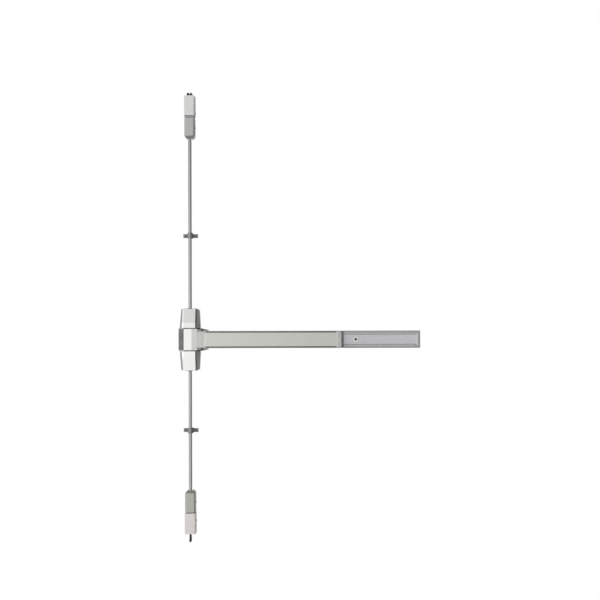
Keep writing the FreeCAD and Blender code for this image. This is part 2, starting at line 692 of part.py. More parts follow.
def link():
    """Bar on edge along the rail that joins both bell cranks to the centre slide."""
    back = "-(link_depth - 5)"
    front = "-(link_depth + 6)"
    seat = "-(link_depth - 1.5)"
    body = new_body()
    end = "dog_place + 65"
    outline = [("rail_start - 7", back), (end, back), (end, front), ("rail_start + 15", front),
               ("rail_start + 15", seat), ("rail_start - 7", seat)]
    pad(body, "XY_Plane", "0", "4", outline, both_ways=True)
    for place in ("left_crank", "right_crank"):
        middle = "(%s - link_travel / 2)" % place
        deep = "(link_depth + link_sagitta / 2)"
        slot = oblong(("%s - 2.5 - slot_play" % middle, "%s + 2.5 + slot_play" % middle),
                      ("-(%s + 2.5 + slot_play + link_sagitta / 2)" % deep,
                       "-(%s - 2.5 - slot_play - link_sagitta / 2)" % deep))
        pocket(body, "XY_Plane", "0", "10", slot, both_ways=True)
    for place in ("rail_start - 1", "rail_start + 9", "dog_place - 13"):
        pocket(body, "XZ_Plane", "link_depth - 4", "12", holes=[(place, "0", "1.5")])
    node("link_bar", body)
    base = block(("dog_place - 16.5", "dog_place - 6.6"), ("link_depth + 6", "link_depth + 8"),
                 ("-3", "8.5"))
    lug = block(("dog_place - 9.6", "dog_place - 6.6"), ("link_depth + 6", "link_depth + 14"),
                ("3.5", "8.5"))
    hole = drum("Y", ("dog_place - 13", "0"), "1.5", ("link_depth + 5", "link_depth + 9"))
    node("dogging_catch", cut(fuse(base, lug), hole))
    slide_front = "link_depth - 1.5 + lever_plate"
    heads = [("rail_start - 1", slide_front), ("rail_start + 9", slide_front),
             ("dog_place - 13", "link_depth + 8")]
    rivets = [fuse(drum("Y", (x, "0"), "1.5", ("link_depth - 4", seat_depth)),
                   drum("Y", (x, "0"), "2.8", (seat_depth, "%s + 1.2" % seat_depth)))
              for x, seat_depth in heads]
    node("link_rivets", group(rivets))


rail()
crank_bracket("crank_bracket_left", "left_crank")
crank_bracket("crank_bracket_right", "right_crank")
bell_crank("bell_crank_left", "left_crank")
bell_crank("bell_crank_right", "right_crank")
pad_bracket("pad_bracket_left", "left_crank")
pad_bracket("pad_bracket_right", "right_crank")
link()
node("bell_pivot_pins", group(
    [fuse(drum("Z", (place, "bell_depth"), "4", ("-16", "15")),
          drum("Z", (place, "bell_depth"), "5.5", ("14.5", "16")))
     for place in ("left_crank", "right_crank")]))
node("rail_screws", group(
    [screw("Y", (x, z), "floor_top", 5, 2.0)
     for x in ("rail_start + 8", "rail_start + 20") for z in ("-14", "14")]
    + [screw("Y", (x, z), "floor_top + 2.5", 4.5, 1.5)
       for x, reach in bracket_feet() for z in both(reach)]))


# ---------------------------------------------------------------- pad and mechanism case

def push_pad():
    """Formed pad face with bevelled long edges and skirts that run inside the rail walls."""
    half = "pad_half"
    inner = "pad_half - pad_wall"
    shy = "pad_bevel + pad_wall * 0.4"
    chain = [("-pad_skirt_depth", half), ("-(pad_depth - pad_bevel)", half),
             ("-pad_depth", "pad_half - pad_bevel")]
    back = [("-(pad_depth - pad_wall)", "pad_half - (%s)" % shy),
            ("-(pad_depth - (%s))" % shy, inner), ("-pad_skirt_depth", inner)]
    lower = [(y, "-(%s)" % z) for y, z in reversed(chain)]
    lower_back = [(y, "-(%s)" % z) for y, z in reversed(back)]
    outline = chain + lower + lower_back + back
    return plate("push_pad", "YZ_Plane", "pad_start + 10", "pad_length - 28", outline)


def pad_cap(name, outline, plug, hollow):
    """Moulded end of the pad: an outer form, a plug inside the pad and a hollow behind."""
    body = pad(new_body(), "XY_Plane", "0", "pad_half * 2", outline, both_ways=True)
    for side in (1, -1):
        edge = [("-(pad_depth + 1)", "%d * (pad_half - pad_bevel - 1)" % side),
                ("-(pad_depth + 1)", "%d * (pad_half + 1)" % side),
                ("-(pad_depth - pad_bevel - 1)", "%d * (pad_half + 1)" % side)]
        pocket(body, "YZ_Plane", "pad_start - 1", "pad_length + 2", edge)
    plug_outline = oblong(plug, ("-(pad_depth - pad_bevel - pad_wall - 1)", "-(pad_skirt_depth + 8)"))
    pad(body, "XY_Plane", "0", "cap_plug * 2", plug_outline, both_ways=True)
    well = oblong(hollow, ("-(pad_half - 3)", "pad_half - 3"))
    pocket(body, "XZ_Plane", "pad_skirt_depth - 1", "pad_depth - pad_skirt_depth - 15", well)
    return node(name, body)


def pad_caps():
    left = [("pad_start", "-pad_skirt_depth"), ("pad_start", "-(pad_depth - 10)"),
            ("pad_start + 2.5", "-(pad_depth - 4)"), ("pad_start + 7", "-(pad_depth - 0.8)"),
            ("pad_start + 10", "-pad_depth"), ("pad_start + 10", "-pad_skirt_depth")]
    pad_cap("pad_cap_left", left, ("pad_start + 9", "pad_start + 20"),
            ("pad_start + 2.5", "pad_start + 17"))
    right = [("pad_end - 18", "-pad_skirt_depth"), ("pad_end - 18", "-pad_depth"),
             ("pad_end - 9", "-(pad_depth - 1.5)"), ("pad_end - 3", "-(pad_depth - 7)"),
             ("pad_end", "-(pad_depth - 16)"), ("pad_end", "-pad_skirt_depth")]
    pad_cap("pad_cap_right", right, ("pad_end - 28", "pad_end - 17"), ("pad_end - 25", "pad_end - 2.5"))


def mechanism_cover():
    """Long cover beside the pad: bevelled edges, a groove each side and a raised flat face.

    Lips on its long edges run inside the rail walls, so it slides in from the free end.
    """
    wall = "filler_wall"
    chain = [("-rail_depth", "rail_half"), ("-(rail_depth + 2)", "rail_half"),
             ("-(rail_depth + 7)", "rail_half - 5"), ("-(case_depth - 5.5)", "rail_half - 6.5"),
             ("-(case_depth - 5.5)", "rail_half - 11"), ("-case_depth", "rail_half - 13")]
    lip = "rail_half - rail_wall - 0.2"
    back = [("-(case_depth - %s)" % wall, "rail_half - 13 - %s * 0.73" % wall),
            ("-(case_depth - 5.5 - %s)" % wall, "rail_half - 11 - %s * 0.67" % wall),
            ("-(case_depth - 5.5 - %s)" % wall, "rail_half - 6.5 + %s * 0.4" % wall),
            ("-(rail_depth + 1)", "%s - %s" % (lip, wall)), ("-(rail_depth - 5)", "%s - %s" % (lip, wall)),
            ("-(rail_depth - 5)", lip), ("-rail_depth", lip)]
    lower = [(y, "-(%s)" % z) for y, z in reversed(chain)]
    lower_back = [(y, "-(%s)" % z) for y, z in reversed(back)]
    body = pad(new_body(), "YZ_Plane", "mech_start", "rail_end - mech_start",
               chain + lower + lower_back + back)
    pocket(body, "XZ_Plane", "case_depth - 10", "20", holes=[("dog_place", "0", "key_radius + 2.05")])
    return node("mechanism_cover", body)


def bar_end():
    """Bracket screwed to the door under the rail's free end, and the cap that closes the end."""
    bracket = pad(new_body(), "XZ_Plane", "0", "base_thickness",
                  oblong(("rail_end - 42", "rail_end + 4.5"), both("22")),
                  [("rail_end - 14", z, "bolt_hole / 2") for z in ("-14", "14")])
    pad(bracket, "XZ_Plane", "base_thickness - 1", "24",
        oblong(("rail_end + 1.5", "rail_end + 4.5"), both("16")))
    for z in ("-9", "9"):
        pocket(bracket, "YZ_Plane", "rail_end", "6", holes=[("-16", z, "2.05")])
    node("end_bracket", bracket)
    cap = pad(new_body(), "XY_Plane", "0", "rail_half * 2",
              [("rail_end", "-0.5"), ("bar_end", "-0.5"), ("bar_end", "-(case_depth - 10)"),
               ("bar_end - 9", "-case_depth"), ("rail_end", "-case_depth")], both_ways=True)
    for side in (1, -1):
        wedge = [("-(rail_depth + 2)", "%d * (rail_half + 0.01)" % side),
                 ("-(case_depth + 0.1)", "%d * (rail_half + 1)" % side),
                 ("-(case_depth + 0.1)", "%d * (rail_half - 9)" % side)]
        pocket(cap, "YZ_Plane", "rail_end - 1", "end_cap_length + 2", wedge)
    pocket(cap, "YZ_Plane", "rail_end - 1", "end_cap_length - 1.5",
           oblong(("-rail_depth", "0"), both("rail_half - 3")))
    for z in ("-9", "9"):
        pocket(cap, "YZ_Plane", "bar_end - 5", "6", holes=[("-16", z, "2.1")])
        COVER_SCREWS.append(screw("X", ("16", z), "bar_end", 10.5, 2.0))
    node("end_cap", cap)


def dogging():
    """Keyed cam that swings behind the link's catch and holds the pad pressed."""
    plate_top = "link_depth + 18.5"
    body = pad(new_body(), "XZ_Plane", "link_depth + 15.5", "3",
               oblong(("dog_place - 14", "dog_place + 14"), both("21")),
               [("dog_place", "0", "3.05")])
    for side in (1, -1):
        leg = oblong(("dog_place - 14", "dog_place + 14"), ("%d * 18" % side, "%d * 20.5" % side))
        pad(body, "XZ_Plane", "floor_top", "link_depth + 16 - floor_top", leg)
        foot = oblong(("dog_place - 7", "dog_place + 7"), ("%d * 20" % side, "%d * 26.5" % side))
        pad(body, "XZ_Plane", "floor_top", "2.5", foot, [("dog_place", "%d * 23.8" % side, "1.6")])
    node("dogging_bracket", body)
    centre = ("dog_place", "0")
    hub = fuse(drum("Y", centre, "3", ("link_depth + 9.5", "%s + 1" % plate_top)),
               drum("Y", centre, "6", ("%s + 0.3" % plate_top, "case_depth - 6")),
               block(("dog_place - 6.9", "dog_place"), ("link_depth + 10", "link_depth + 14"), both("1.5")))
    node("dogging_hub", cut(hub, hexagon("Y", centre, "2.4", ("case_depth - 13", "case_depth - 5"))))
    ring = fuse(drum("Y", centre, "key_radius + 2", ("case_depth - 5", "case_depth + 0.5")),
                drum("Y", centre, "key_radius + 6", ("case_depth", "case_depth + 1.2")))
    node("key_ring", cut(ring, drum("Y", centre, "key_radius", ("case_depth - 6", "case_depth + 2"))))


def damper():
    """Return spring round a plunger, and the damper that slows the pad's return."""
    axis = ("link_depth + 0.5", "0")
    shell = drum("X", axis, "8", ("dog_place + 105", "dog_place + 160"))
    node("damper_body", cut(shell, drum("X", axis, "3.05", ("dog_place + 104", "dog_place + 145"))))
    feet = block(("dog_place + 122", "dog_place + 138"), ("floor_top", "floor_top + 2.5"), both("22"))
    clamp = block(("dog_place + 122", "dog_place + 138"), ("floor_top", "link_depth + 11"), both("11"))
    holes = [drum("Y", ("dog_place + 130", z), "1.6", ("floor_top - 1", "floor_top + 3"))
             for z in both("18")]
    bore = drum("X", axis, "8", ("dog_place + 121", "dog_place + 139"))
    node("damper_bracket", cut(fuse(feet, clamp), bore, *holes))
    plunger = fuse(drum("X", axis, "3", ("dog_place + 66", "dog_place + 120")),
                   drum("X", axis, "7.4", ("dog_place + 65", "dog_place + 67.5")))
    node("damper_plunger", plunger)
    spring = drum("X", axis, "6.8", ("dog_place + 67.5", "dog_place + 105"))
    node("return_spring", cut(spring, drum("X", axis, "4.6", ("dog_place + 67", "dog_place + 106"))))


push_pad()
pad_caps()
mechanism_cover()
bar_end()
dogging()
damper()


# ---------------------------------------------------------------- top and bottom latches

def bevelled_section(half, depth, bevel, inset):
    """Section of a latch cover: side walls, two bevels and the front; the back is open."""
    half = "(%s) - %s" % (half, inset)
    depth = "(%s) - %s" % (depth, inset)
    back = "0" if inset == "0" else "1"
    short = "%s - (%s * 0.4)" % (bevel, inset)
    right = [("%s - (%s)" % (half, short), "-(%s)" % depth), (half, "-(%s - (%s))" % (depth, short)),
             (half, back)]
    return [("-(%s)" % x, y) for x, y in reversed(right)] + right


def latch_cover(name, half, depth, low, high, walls, opening, screw_height):
    """Box cover open at the back; walls says which of its two ends is closed."""
    body = pad(new_body(), "XY_Plane", low, "(%s) - (%s)" % (high, low),
               bevelled_section(half, depth, "3", "0"))
    bottom = "(%s) + %s" % (low, "latch_wall" if walls[0] else "-1")
    top = "(%s) - %s" % (high, "latch_wall" if walls[1] else "-1")
    pocket(body, "XY_Plane", bottom, "(%s) - (%s)" % (top, bottom),
           bevelled_section(half, depth, "3", "latch_wall"))
    if opening:
        pocket(body, "XY_Plane", "(%s) - 1" % low, "(%s) - (%s) + 2" % (high, low), opening)
    for side in (1, -1):
        start = "%d * (%s)%s" % (side, half, " - 3" if side > 0 else " - 1")
        pocket(body, "YZ_Plane", start, "4", holes=[("-10", screw_height, "1.6")])
        COVER_SCREWS.append(screw("X", ("10", screw_height), "%d * (%s)" % (side, half), 5, 1.5, side))
    return node(name, body)


def lip(body, side, start, half, depth):
    """The tapered end of a latch's lower cover, closed round the rod by a notch."""
    near = "%s" % start
    far = "%s - %d * lip_length" % (start, side)
    loft(body, "PartDesign::AdditiveLoft",
         [(near, bevelled_section(half, depth, "3", "0")),
          (far, bevelled_section("rod_radius + 3.5", "rod_depth + rod_radius + 3", "3", "0"))])
    gap = "rod_radius + rod_clearance"
    low = far if side > 0 else near
    low = "%s - %s" % (low, "1" if side > 0 else "(latch_wall + 1)")
    length = "lip_length + latch_wall + 2"
    pocket(body, "XY_Plane", low, length, holes=[("0", "-rod_depth", gap)])
    pocket(body, "XY_Plane", low, length, oblong(both(gap), ("-rod_depth", "1")))


def latch_base(name, low, high, bolt_heights, lug_heights):
    """Back plate of a latch, with four mounting holes and lugs that hold its covers."""
    half = "body_half - latch_wall - 0.2"
    holes = [(x, z, "bolt_hole / 2") for x in ("-8", "8") for z in bolt_heights]
    body = pad(new_body(), "XZ_Plane", "0", "base_thickness", oblong(both(half), (low, high)), holes)
    for z in lug_heights:
        for side in (1, -1):
            lug = oblong(("%d * (%s)" % (side, half), "%d * (%s - 2.5)" % (side, half)),
                         ("%s - 4" % z, "%s + 4" % z))
            pad(body, "XZ_Plane", "base_thickness - 0.5", "11.5", lug)
            start = "%d * (%s)%s" % (side, half, " - 4" if side > 0 else " - 1")
            pocket(body, "YZ_Plane", start, "5", holes=[("-10", z, "1.55")])
    return node(name, body)


def top_latch():
    head_lug = "head_bottom + 12"
    body_lug = "latch_bottom + 30"
    latch_base("top_latch_base", "latch_bottom + latch_wall + 0.2", "upper_reach - latch_wall - 0.2",
               (head_lug, "latch_bottom + 12"), (head_lug, body_lug))
    mouth = oblong(both("bolt_width / 2 + 0.5"), ("-(bolt_front + 1)", "-(bolt_back - 5.5)"))
    head = latch_cover("top_latch_head", "latch_half", "latch_depth", "head_bottom", "upper_reach",
                       (False, True), mouth, head_lug)
    lower = latch_cover("top_latch_cover", "body_half", "latch_depth - 2", "latch_bottom", "latch_top",
                        (True, False), None, body_lug)
    lip(lower, 1, "latch_bottom", "body_half", "latch_depth - 2")
    guide_half = "bolt_width / 2 + 3"
    low = "upper_reach - 38"
    guide = block(both(guide_half), ("base_thickness", "latch_depth - 3"), (low, "upper_reach - 4"))
    channel = block(both("bolt_width / 2 + slide_gap"), ("bolt_back - slide_gap", "latch_depth"),
                    ("%s - 1" % low, "upper_reach"))
    groove = block(both("2.2"), ("bolt_back - 10", "latch_depth"), ("%s - 1" % low, "upper_reach"))
    strap = block(both("bolt_width / 2 + 1"), ("bolt_front + slide_gap", "bolt_front + 3"),
                  (low, "%s + 5" % low))
    collar = block(both("body_half - 1"), ("base_thickness", "latch_depth - 4"),
                   ("latch_top + 0.5", "head_bottom - 0.5"))
    throat = block(both("bolt_width / 2 + slide_gap"), ("bolt_back - slide_gap", "bolt_front + slide_gap"),
                   ("latch_top", "head_bottom"))
    ears = drum("X", ("trip_depth", "trip_height"), "1.5", both("20"))
    upper_guide = cut(fuse(cut(guide, channel, groove), strap), ears)
    node("top_bolt_guide", group([upper_guide, cut(collar, throat)]))
    node("trip_pin", drum("X", ("trip_depth", "trip_height"), "1.5", both("bolt_width / 2 + 2.8")))


def top_bolt():
    """Forked bolt on the rod's stem, sprung upwards, with a lever between its two prongs."""
    bolt = new_body()
    top = "upper_reach + bolt_proud"
    foot = "head_bottom - 2"
    section = oblong(both("bolt_width / 2"), ("-bolt_front", "-bolt_back"))
    pad(bolt, "XY_Plane", foot, "%s - (%s)" % (top, foot), section)
    for side in (1, -1):
        corner = [("%d * (bolt_width / 2 - 4)" % side, "%s + 1" % top),
                  ("%d * (bolt_width / 2 + 1)" % side, "%s + 1" % top),
                  ("%d * (bolt_width / 2 + 1)" % side, "%s - 4" % top)]
        pocket(bolt, "XZ_Plane", "bolt_back - 1", "bolt_thick + 2", corner)
    pocket(bolt, "XZ_Plane", "bolt_back - 1", "bolt_thick + 2",
           oblong(both("2"), ("upper_reach - 29", "%s + 1" % top)))
    pocket(bolt, "XY_Plane", "%s - 1" % foot, "31", holes=[("0", "-rod_depth", "4 + running_fit")])
    pocket(bolt, "YZ_Plane", "-(bolt_width / 2 + 1)", "bolt_width + 2",
           oblong(("-(rod_depth + 1.8)", "-(rod_depth - 1.8)"), ("head_bottom + 6.2", "head_bottom + 20")))
    node("top_bolt", bolt)
    spring_span = ("head_bottom - 37", foot)
    spring = drum("Z", ("0", "rod_depth"), "6", spring_span)
    node("top_bolt_spring", cut(spring, drum("Z", ("0", "rod_depth"), "4.5", spring_span)))
    lever = new_body()
    outline = [("-(bolt_back + 2)", "trip_height + 3"), ("-(bolt_back + 2)", "upper_reach + 5"),
               ("-(bolt_back + 5)", "upper_reach + 7"), ("-(bolt_front - 4)", "upper_reach + 7"),
               ("-bolt_front", "upper_reach + 3"), ("-bolt_front", "trip_height + 12"),
               ("-(trip_depth + 3.5)", "trip_height + 3"), ("-(trip_depth + 3)", "trip_height - 2"),
               ("-(trip_depth - 3)", "trip_height - 2")]
    pad(lever, "YZ_Plane", "0", "lever_plate", outline, both_ways=True)
    pad(lever, "YZ_Plane", "0", "lever_plate", holes=[("-trip_depth", "trip_height", "4")], both_ways=True)
    pocket(lever, "YZ_Plane", "0", "10",
           holes=[("-trip_depth", "trip_height", "1.5 + running_fit")], both_ways=True)
    node("trip_lever", lever)


def bottom_latch():
    shin_lug = "shin_top - 33"
    foot_lug = "foot_top - 28"
    base = latch_base("bottom_latch_base", "-lower_reach + latch_wall + 0.2", "shin_top - latch_wall - 0.5",
                      ("shin_top - 12", "foot_top - 12"), (shin_lug, foot_lug))
    ear = oblong(both("11"), ("-(rod_depth + 11)", "-(base_thickness - 0.5)"))
    pad(base, "XY_Plane", "shin_top - 6", "3", ear, [("0", "-rod_depth", "rod_radius + rod_clearance")])
    tongue = oblong(both("tongue_width / 2 + 1"), ("-(rod_depth + 9)", "-(rod_depth - 9)"))
    latch_cover("bottom_latch_foot", "latch_half + 0.5", "latch_depth", "-lower_reach", "foot_top",
                (True, False), tongue, foot_lug)
    shin = latch_cover("bottom_latch_cover", "body_half", "latch_depth - 2", "shin_bottom", "shin_top",
                       (False, True), None, shin_lug)
    lip(shin, -1, "shin_top", "body_half", "latch_depth - 2")
    top = "foot_top - 2"
    guide = block(both("12"), ("base_thickness", "rod_depth + 13"),
                  ("-lower_reach + 4", "-lower_reach + 30"))
    slot = block(both("tongue_width / 2 + slide_gap"), ("rod_depth - 8.3", "rod_depth + 8.3"),
                 ("-lower_reach + 3", "-lower_reach + 31"))
    node("bottom_bolt_guide", cut(guide, slot))
    bolt = new_body()
    tip = "-(lower_reach + foot_proud)"
    half = "tongue_width / 2"
    outline = [("-(%s - 1)" % half, tip), ("%s - 1" % half, tip), (half, "%s + 2" % tip),
               (half, "%s + 13" % tip), ("%s - 0.6" % half, "%s + 15" % tip), ("%s - 0.6" % half, top),
               ("-(%s - 0.6)" % half, top), ("-(%s - 0.6)" % half, "%s + 15" % tip),
               ("-(%s)" % half, "%s + 13" % tip), ("-(%s)" % half, "%s + 2" % tip)]
    pad(bolt, "XZ_Plane", "rod_depth - 8", "16", outline)
    pad(bolt, "XY_Plane", "%s - 3" % top, "(shin_top - 43) - (%s - 3)" % top,
        holes=[("0", "-rod_depth", "rod_radius + 2")])
    pocket(bolt, "XY_Plane", "foot_top + 13", "20", holes=[("0", "-rod_depth", "rod_radius")])
    node("bottom_bolt", bolt)
    axis = ("0", "rod_depth")
    collar_span = ("shin_top - 42", "shin_top - 38")
    node("lower_rod_collar", cut(drum("Z", axis, "rod_radius + 3.5", collar_span),
                                 drum("Z", axis, "rod_radius", collar_span)))
    spring_span = ("shin_top - 38", "shin_top - 6")
    node("bottom_spring", cut(drum("Z", axis, "rod_radius + 3", spring_span),
                              drum("Z", axis, "rod_radius + 0.8", spring_span)))


top_latch()
top_bolt()
bottom_latch()
node("cover_screws", group(COVER_SCREWS))


# ---------------------------------------------------------------- checks and export

def check_and_export():
    doc.recompute()
    for thing in doc.Objects:
        bad = [word for word in thing.State if word in ("Invalid", "Error")]
        assert not bad, "%s (%s) is %s" % (thing.Name, thing.Label, thing.State)
    for before, after in CUTS:
        assert after.Shape.Volume < before.Shape.Volume - 1e-3, "%s cuts nothing" % after.Name
    for name, thing in NODES.items():
        assert not thing.Shape.isNull(), name + " is empty"
        assert thing.Shape.isValid(), name + " is not valid"
        assert thing.Shape.Solids, name + " has no solid"
    os.makedirs("parts", exist_ok=True)
    for name, thing in NODES.items():
        thing.Shape.exportStep("parts/%s.step" % name)
    print("%d nodes" % len(NODES))


check_and_export()
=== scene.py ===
import math
import bmesh
import bpy
from mathutils import Matrix, Vector


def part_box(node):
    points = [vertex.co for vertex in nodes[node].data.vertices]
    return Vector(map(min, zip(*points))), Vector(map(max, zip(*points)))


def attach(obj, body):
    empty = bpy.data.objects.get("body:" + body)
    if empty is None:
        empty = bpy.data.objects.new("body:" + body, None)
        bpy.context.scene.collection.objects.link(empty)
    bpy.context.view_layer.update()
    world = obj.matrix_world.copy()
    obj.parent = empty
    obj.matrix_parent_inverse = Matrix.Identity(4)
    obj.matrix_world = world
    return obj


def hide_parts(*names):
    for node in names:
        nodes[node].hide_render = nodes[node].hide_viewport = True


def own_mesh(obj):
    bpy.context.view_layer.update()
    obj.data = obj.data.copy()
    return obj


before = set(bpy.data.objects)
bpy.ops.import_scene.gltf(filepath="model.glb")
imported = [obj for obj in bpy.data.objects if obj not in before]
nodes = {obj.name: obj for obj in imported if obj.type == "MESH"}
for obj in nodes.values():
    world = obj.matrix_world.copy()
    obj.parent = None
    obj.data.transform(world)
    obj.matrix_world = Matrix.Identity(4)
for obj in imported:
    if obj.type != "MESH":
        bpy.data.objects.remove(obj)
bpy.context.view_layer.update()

MM = 0.001

# ---- Camera and studio ------------------------------------------------------
# The device hangs where a door would hold it and is seen almost square on from 3.3 m.
# The studio is a white sweep with a bright wall of soft light on the left and in front,
# and darker ground to the sides, above and below, which gives bright metal its dark edges.

STAND_OFF = 3.30           # camera out from the door face
SIGHT_DEPTH = 0.045        # depth at which the picture spans PICTURE_WIDTH
PICTURE_WIDTH = 1.968
FILM_WIDTH = 36.0
camera_data = bpy.data.cameras.new("camera")
camera_data.sensor_width = FILM_WIDTH
camera_data.lens = FILM_WIDTH * (STAND_OFF - SIGHT_DEPTH) / PICTURE_WIDTH
camera_data.clip_end = 50
LOOK_X, LOOK_Z = 0.3624, 0.1292        # what lies at the middle of the picture
LEAN = 0.13                # degrees that the camera is tipped to one side
camera_data.shift_y = LOOK_Z / PICTURE_WIDTH


def placed(name, data):
    """A new object of the scene that carries the data."""
    made = bpy.data.objects.new(name, data)
    bpy.context.scene.collection.objects.link(made)
    return made


camera = placed("camera", camera_data)
camera.matrix_world = (Matrix.Translation((LOOK_X, -STAND_OFF, 0))
                       @ Matrix.Rotation(math.radians(LEAN), 4, "Y")
                       @ Matrix.Rotation(math.radians(90), 4, "X"))
bpy.context.scene.camera = camera
bpy.context.scene.view_settings.view_transform = "Standard"


def linear(text):
    """An sRGB hex colour as linear red, green, blue and full alpha."""
    parts = [int(text[i:i + 2], 16) / 255 for i in (1, 3, 5)]
    return tuple(c / 12.92 if c <= 0.04045 else ((c + 0.055) / 1.055) ** 2.4
                 for c in parts) + (1.0,)


def add_node(tree, kind, settings=None, **links):
    """Add a node, set its properties and inputs, and link other nodes' outputs to its inputs.

    A link is named for its input: Base_Color for Base Color, and in0, in1 by place.
    """
    made = tree.nodes.new(kind)
    for name, number in (settings or {}).items():
        if isinstance(name, int) or name in made.inputs:
            made.inputs[name].default_value = number
        else:
            setattr(made, name, number)
    for name, source in links.items():
        by_place = name.startswith("in") and name[2:].isdigit()
        tree.links.new(source, made.inputs[int(name[2:]) if by_place else name.replace("_", " ")])
    return made


def ramp_stops(ramp, stops):
    """Set a colour ramp's stops from (place, grey or colour) pairs."""
    elements = ramp.color_ramp.elements
    while len(elements) < len(stops):
        elements.new(0.5)
    for element, (place, tone) in zip(elements, stops):
        element.position = place
        element.color = tone if isinstance(tone, tuple) else (tone, tone, tone, 1)


# What each direction of the studio sends out: degrees round from the camera's side, left negative.
AROUND = [(-180, 0.80), (-158, 0.20), (-148, 0.25), (-138, 1.0), (-118, 0.80), (-106, 0.06),
          (-83, 0.05), (-74, 1.35), (-14, 1.30), (-5, 0.98), (-2, 0.84), (8, 0.68), (22, 0.56),
          (36, 0.26), (58, 0.12), (96, 0.05), (126, 0.07), (142, 0.26), (160, 0.60), (180, 0.80)]
# And degrees up from level, as a share of that.
UPWARD = [(-90, 0.26), (-58, 0.22), (-38, 0.95), (-14, 1.0), (4, 1.0), (18, 0.93), (34, 0.74),
          (60, 0.22), (90, 0.32)]
world = bpy.data.worlds.new("studio")
bpy.context.scene.world = world
world.use_nodes = True
tree = world.node_tree
toward = add_node(tree, "ShaderNodeSeparateXYZ",
                  in0=add_node(tree, "ShaderNodeTexCoord").outputs["Generated"])
ahead = add_node(tree, "ShaderNodeMath", {"operation": "MULTIPLY", 1: -1.0},
                 in0=toward.outputs["Y"])
turn = add_node(tree, "ShaderNodeMath", {"operation": "ARCTAN2"}, in0=toward.outputs["X"],
                in1=ahead.outputs["Value"])
turn_share = add_node(tree, "ShaderNodeMapRange", {"From Min": -math.pi, "From Max": math.pi},
                      Value=turn.outputs["Value"])
rise = add_node(tree, "ShaderNodeMath", {"operation": "ARCSINE"}, in0=toward.outputs["Z"])
rise_share = add_node(tree, "ShaderNodeMapRange",
                      {"From Min": -math.pi / 2, "From Max": math.pi / 2},
                      Value=rise.outputs["Value"])
around = add_node(tree, "ShaderNodeValToRGB", Fac=turn_share.outputs["Result"])
ramp_stops(around, [((degrees + 180) / 360, tone) for degrees, tone in AROUND])
upward = add_node(tree, "ShaderNodeValToRGB", Fac=rise_share.outputs["Result"])
ramp_stops(upward, [((degrees + 90) / 180, tone) for degrees, tone in UPWARD])
walls = add_node(tree, "ShaderNodeVectorMath", {"operation": "MULTIPLY"},
                 in0=around.outputs["Color"], in1=upward.outputs["Color"])
seen = add_node(tree, "ShaderNodeLightPath").outputs["Is Camera Ray"]
colour = add_node(tree, "ShaderNodeMix", {"data_type": "RGBA"}, Factor=seen)
tree.links.new(walls.outputs["Vector"], colour.inputs["A"])
colour.inputs["B"].default_value = (1, 1, 1, 1)
tree.links.new(colour.outputs["Result"], tree.nodes["Background"].inputs["Color"])


def soft_light(name, width, height, power, place, turned, tipped):
    """An area light that metal doesn't mirror, turned about the upright and tipped up."""
    data = bpy.data.lights.new(name, "AREA")
    data.shape = "RECTANGLE"
    data.size = width
    data.size_y = height
    data.energy = power
    lamp = placed(name, data)
    lamp.matrix_world = (Matrix.Translation(place) @ Matrix.Rotation(math.radians(turned), 4, "Z")
                         @ Matrix.Rotation(math.radians(tipped), 4, "X"))
    lamp.visible_glossy = False


# A broad softbox high on the left lights what isn't mirror-like, and the floor.
soft_light("softbox", 1.6, 2.0, 45, (-1.2, -3.0, 1.2), turned=-26, tipped=70)
# A panel on the right keeps the lacquered sides from going black.
soft_light("side_panel", 1.2, 1.8, 40, (3.2, -1.6, 0.2), turned=62, tipped=90)

FLOOR_LEVEL = -1.05        # about 0.38 m under the bottom bolt
FLOOR_CORNERS = [(-4, -4), (4.7, -4), (4.7, 0.4), (-4, 0.4)]
floor_mesh = bpy.data.meshes.new("studio_floor")
floor_mesh.from_pydata([(x, y, FLOOR_LEVEL) for x, y in FLOOR_CORNERS], [], [(0, 1, 2, 3)])
floor = placed("studio_floor", floor_mesh)
paper = bpy.data.materials.new("paper_floor_pale")
paper.use_nodes = True
paper_shader = paper.node_tree.nodes["Principled BSDF"]
paper_shader.inputs["Base Color"].default_value = linear("#EDECEA")
paper_shader.inputs["Roughness"].default_value = 0.9
floor_mesh.materials.append(paper)
floor.visible_glossy = False

# ---- Centre case ------------------------------------------------------------
# A cast stainless cover screwed over a pressed back plate. Its arms are satin polished along
# the rods and its band across the bar; the lines are drawn along the rods on both, and the
# edges are left round by the polishing wheel.

CLOUD_SCALE = 22.0         # slow changes of tone, about 45 mm across
MIX_LOW, MIX_HIGH = 0.7, 1.3           # lines and clouds added up, at their darkest and lightest
WEAR_STARTS, WEAR_FULL = 0.52, 0.62    # pointiness where an edge starts to wear and is worn
WEAR_SHARE = 0.35          # of the worn colour, at most


